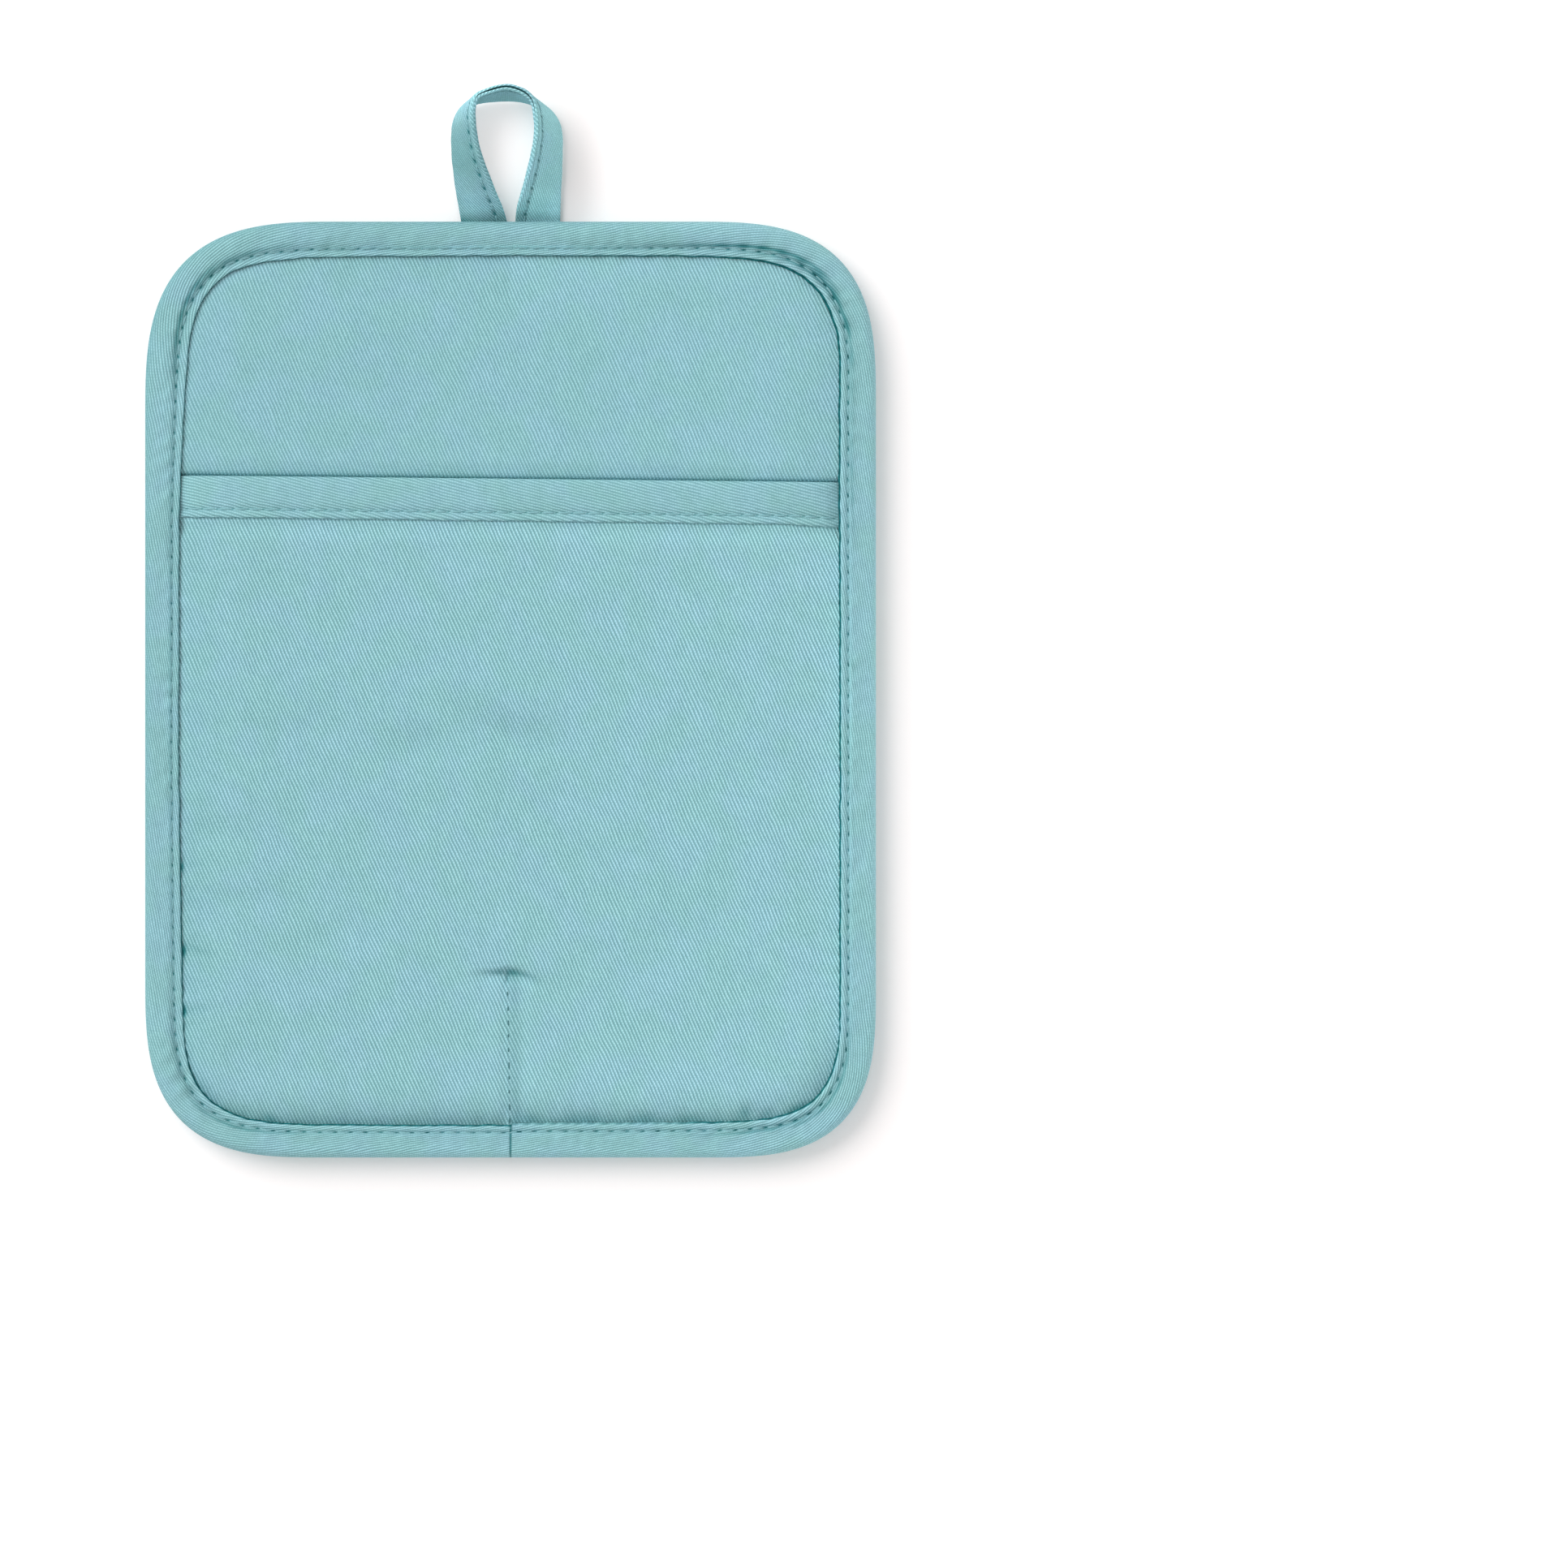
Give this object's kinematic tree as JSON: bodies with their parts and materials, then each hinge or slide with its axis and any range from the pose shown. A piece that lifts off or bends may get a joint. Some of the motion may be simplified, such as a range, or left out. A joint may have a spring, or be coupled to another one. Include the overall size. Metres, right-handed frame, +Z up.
{
  "type": "pot holder",
  "caption": "Rectangular padded pot holder with a twill front pocket, a bound edge, a hanging loop and a ribbed silicone back.",
  "frame": {"origin": "under the middle of the whole object, on the surface that it lies on", "axes": "+Y towards the hanging loop, +X to the right seen from the pocket side, +Z up out of the pocket side"},
  "size_m": [0.178, 0.2614, 0.0114],
  "materials": {
    "panel_twill": "matte cotton twill",
    "binding_twill": "matte bias-cut cotton twill",
    "loop_twill": "matte folded cotton twill",
    "silicone": "satin"
  },
  "bodies": {
    "root": {"padded_body": "panel_twill", "pocket_panel": "panel_twill", "pocket_band": "binding_twill", "edge_binding": "binding_twill", "hanging_loop": "loop_twill", "silicone_back": "silicone"}
  },
  "joints": []
}
